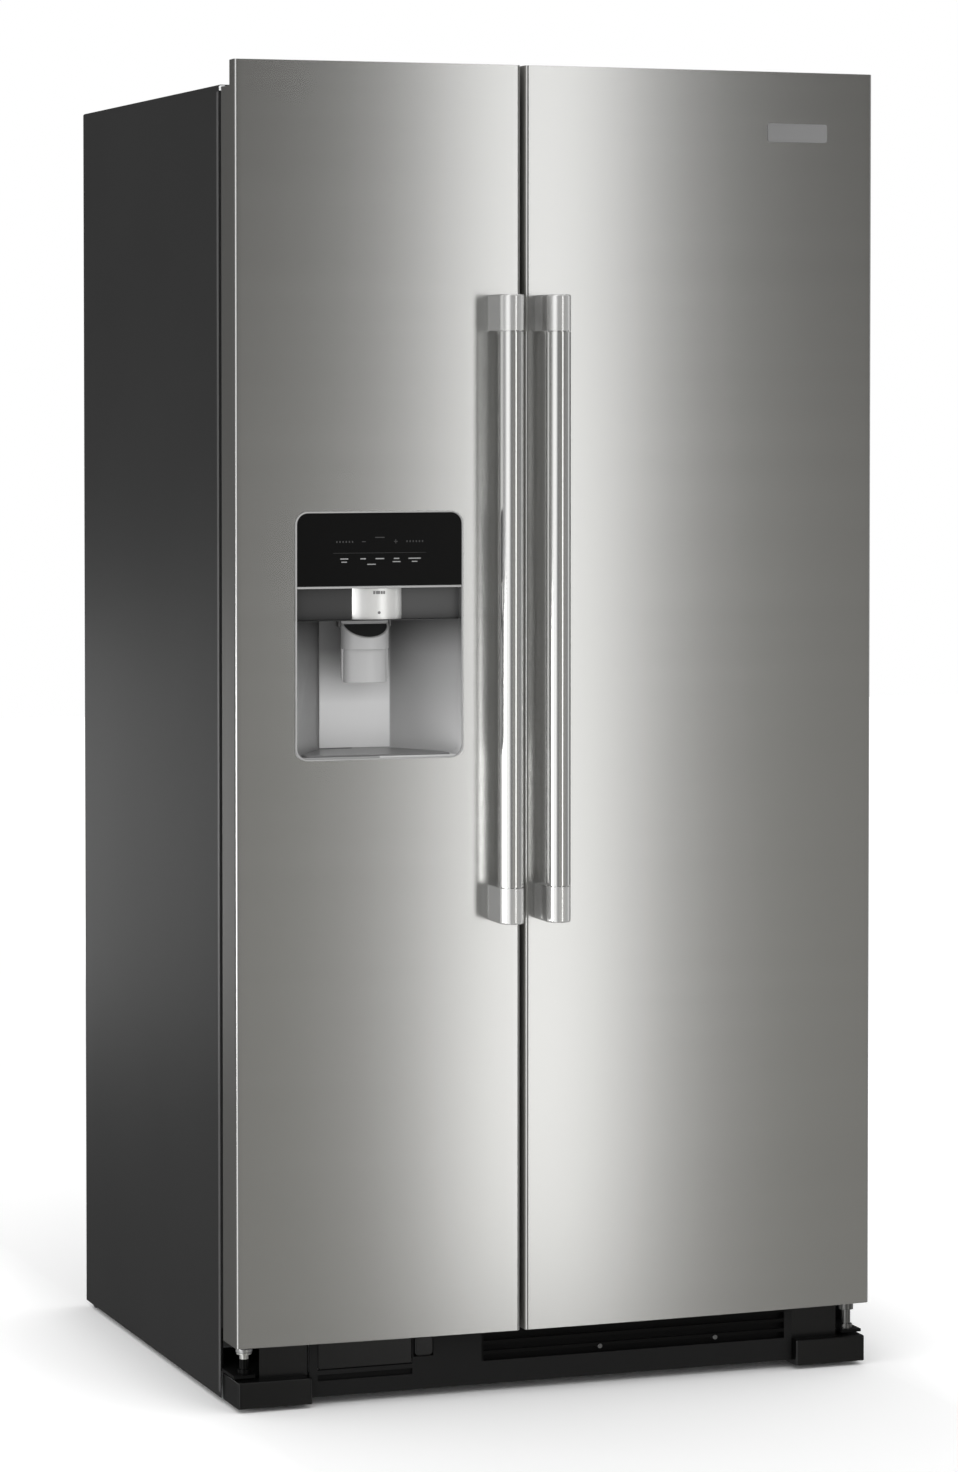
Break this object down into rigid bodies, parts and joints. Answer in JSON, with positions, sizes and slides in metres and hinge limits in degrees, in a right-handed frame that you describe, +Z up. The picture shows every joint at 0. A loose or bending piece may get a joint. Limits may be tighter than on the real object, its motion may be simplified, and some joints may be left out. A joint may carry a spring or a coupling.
{
  "type": "side by side refrigerator",
  "caption": "Tall two-door refrigerator with bowed steel fronts, upright bar handles and an ice and water dispenser in the narrower freezer door.",
  "frame": {"origin": "on the floor under the middle of the bounding box", "axes": "+X to the viewer's right, the doors face -Y, +Z up"},
  "size_m": [0.911, 0.843, 1.778],
  "materials": {
    "stainless": "horizontally brushed stainless sheet",
    "handle_steel": "satin stainless bar",
    "case_paint": "fine textured dark grey enamel",
    "zinc_sheet": "galvanised sheet",
    "zinc_steel": "zinc plated steel",
    "insulation": "rigid foam",
    "white_plastic": "smooth moulded white plastic",
    "clear_plastic": "clear moulded plastic",
    "wire_white": "white coated wire",
    "glass": "tempered glass",
    "cap_plastic": "dark grey moulded plastic",
    "black_plastic": "black moulded plastic",
    "panel_black": "glossy black panel",
    "silver_plastic": "satin silver paint on plastic",
    "recess_grey": "grey moulded plastic",
    "seal_rubber": "soft vinyl seal",
    "foot_rubber": "hard black rubber",
    "coil_metal": "bare aluminium",
    "pump_paint": "black enamel"
  },
  "bodies": {
    "cabinet": {"cabinet_wrapper": "case_paint", "back_panel": "zinc_sheet", "base_deck": "zinc_sheet", "cabinet_foam": "insulation", "freezer_liner": "white_plastic", "fridge_liner": "white_plastic", "center_rail": "case_paint", "base_grille": "black_plastic", "foot_covers": "black_plastic", "upper_hinges": "zinc_steel", "lower_hinges": "zinc_steel", "hinge_pins": "zinc_steel", "hinge_covers": "cap_plastic", "hinge_screws": "zinc_steel", "machine_cover": "zinc_sheet", "compressor": "pump_paint", "condenser_coil": "pump_paint", "condenser_fan_motor": "pump_paint", "evaporator_coil": "coil_metal", "evaporator_cover": "white_plastic", "ice_maker": "white_plastic", "ice_bin": "clear_plastic", "freezer_shelves": "wire_white", "shelf_panes": "glass", "shelf_trims": "white_plastic", "lamp_lenses": "clear_plastic", "filter_housing": "white_plastic"},
    "freezer_door": {"freezer_door_skin": "stainless", "freezer_door_caps": "cap_plastic", "freezer_door_foam": "insulation", "freezer_door_liner": "white_plastic", "freezer_gasket": "seal_rubber", "freezer_handle_bar": "handle_steel", "freezer_handle_posts": "handle_steel", "freezer_door_bins": "clear_plastic", "dispenser_bezel": "silver_plastic", "control_panel": "panel_black", "dispenser_housing": "recess_grey", "chute_cover": "silver_plastic"},
    "fridge_door": {"fridge_door_skin": "stainless", "fridge_door_caps": "cap_plastic", "fridge_door_foam": "insulation", "fridge_door_liner": "white_plastic", "fridge_gasket": "seal_rubber", "fridge_handle_bar": "handle_steel", "fridge_handle_posts": "handle_steel", "fridge_door_bins": "clear_plastic"},
    "dispenser_paddle": {"dispenser_paddle": "recess_grey"},
    "condenser_fan_blade": {"condenser_fan_blade": "black_plastic"},
    "freezer_basket": {"freezer_basket": "clear_plastic"},
    "deli_drawer": {"deli_drawer": "clear_plastic"},
    "crisper_drawer": {"crisper_drawer": "clear_plastic"},
    "water_filter": {"water_filter": "black_plastic"},
    "filter_button": {"filter_button": "black_plastic"},
    "front_left_roller": {"front_left_roller": "foot_rubber"},
    "front_right_roller": {"front_right_roller": "foot_rubber"},
    "rear_left_roller": {"rear_left_roller": "foot_rubber"},
    "rear_right_roller": {"rear_right_roller": "foot_rubber"},
    "left_leveling_leg": {"left_leveling_leg": "foot_rubber"},
    "right_leveling_leg": {"right_leveling_leg": "foot_rubber"}
  },
  "joints": [
    {"name": "freezer_door_hinge", "type": "hinge", "parent": "cabinet", "child": "freezer_door", "pos_m": [-0.4355, -0.3155, 0.9], "axis": [0, 0, -1], "range_deg": [0, 130]},
    {"name": "fridge_door_hinge", "type": "hinge", "parent": "cabinet", "child": "fridge_door", "pos_m": [0.4355, -0.3155, 0.9], "axis": [0, 0, 1], "range_deg": [0, 130]},
    {"name": "dispenser_paddle_push", "type": "hinge", "parent": "freezer_door", "child": "dispenser_paddle", "pos_m": [-0.25678, -0.28165, 1.037], "axis": [0.9996, -0.0299, 0], "range_deg": [0, 12], "stiffness_Nm_per_rad": 0.3, "springref_deg": -8.59},
    {"name": "water_filter_slide", "type": "slide", "parent": "cabinet", "child": "water_filter", "axis": [0, -1, 0], "range_m": [0, 0.25]},
    {"name": "filter_button_press", "type": "slide", "parent": "cabinet", "child": "filter_button", "axis": [0, 1, 0], "range_m": [0, 0.005], "stiffness_N_per_m": 250, "springref_m": -0.002},
    {"name": "condenser_fan_spin", "type": "hinge", "parent": "cabinet", "child": "condenser_fan_blade", "pos_m": [0.084, 0.298, 0.182], "axis": [1, 0, 0], "continuous": true},
    {"name": "freezer_basket_slide", "type": "slide", "parent": "cabinet", "child": "freezer_basket", "axis": [0, -1, 0], "range_m": [0, 0.08]},
    {"name": "deli_drawer_slide", "type": "slide", "parent": "cabinet", "child": "deli_drawer", "axis": [0, -1, 0], "range_m": [0, 0.08]},
    {"name": "crisper_drawer_slide", "type": "slide", "parent": "cabinet", "child": "crisper_drawer", "axis": [0, -1, 0], "range_m": [0, 0.08]},
    {"name": "front_left_roller_turn", "type": "hinge", "parent": "cabinet", "child": "front_left_roller", "pos_m": [-0.4393, -0.1705, 0.017], "axis": [1, 0, 0], "continuous": true},
    {"name": "rear_left_roller_turn", "type": "hinge", "parent": "cabinet", "child": "rear_left_roller", "pos_m": [-0.4393, 0.3945, 0.015], "axis": [1, 0, 0], "continuous": true},
    {"name": "left_leveling_leg_turn", "type": "hinge", "parent": "cabinet", "child": "left_leveling_leg", "pos_m": [-0.3795, -0.3025, 0.02], "axis": [0, 0, 1], "continuous": true},
    {"name": "front_right_roller_turn", "type": "hinge", "parent": "cabinet", "child": "front_right_roller", "pos_m": [0.4393, -0.1705, 0.017], "axis": [1, 0, 0], "continuous": true},
    {"name": "rear_right_roller_turn", "type": "hinge", "parent": "cabinet", "child": "rear_right_roller", "pos_m": [0.4393, 0.3945, 0.015], "axis": [1, 0, 0], "continuous": true},
    {"name": "right_leveling_leg_turn", "type": "hinge", "parent": "cabinet", "child": "right_leveling_leg", "pos_m": [0.3795, -0.3025, 0.02], "axis": [0, 0, 1], "continuous": true}
  ]
}
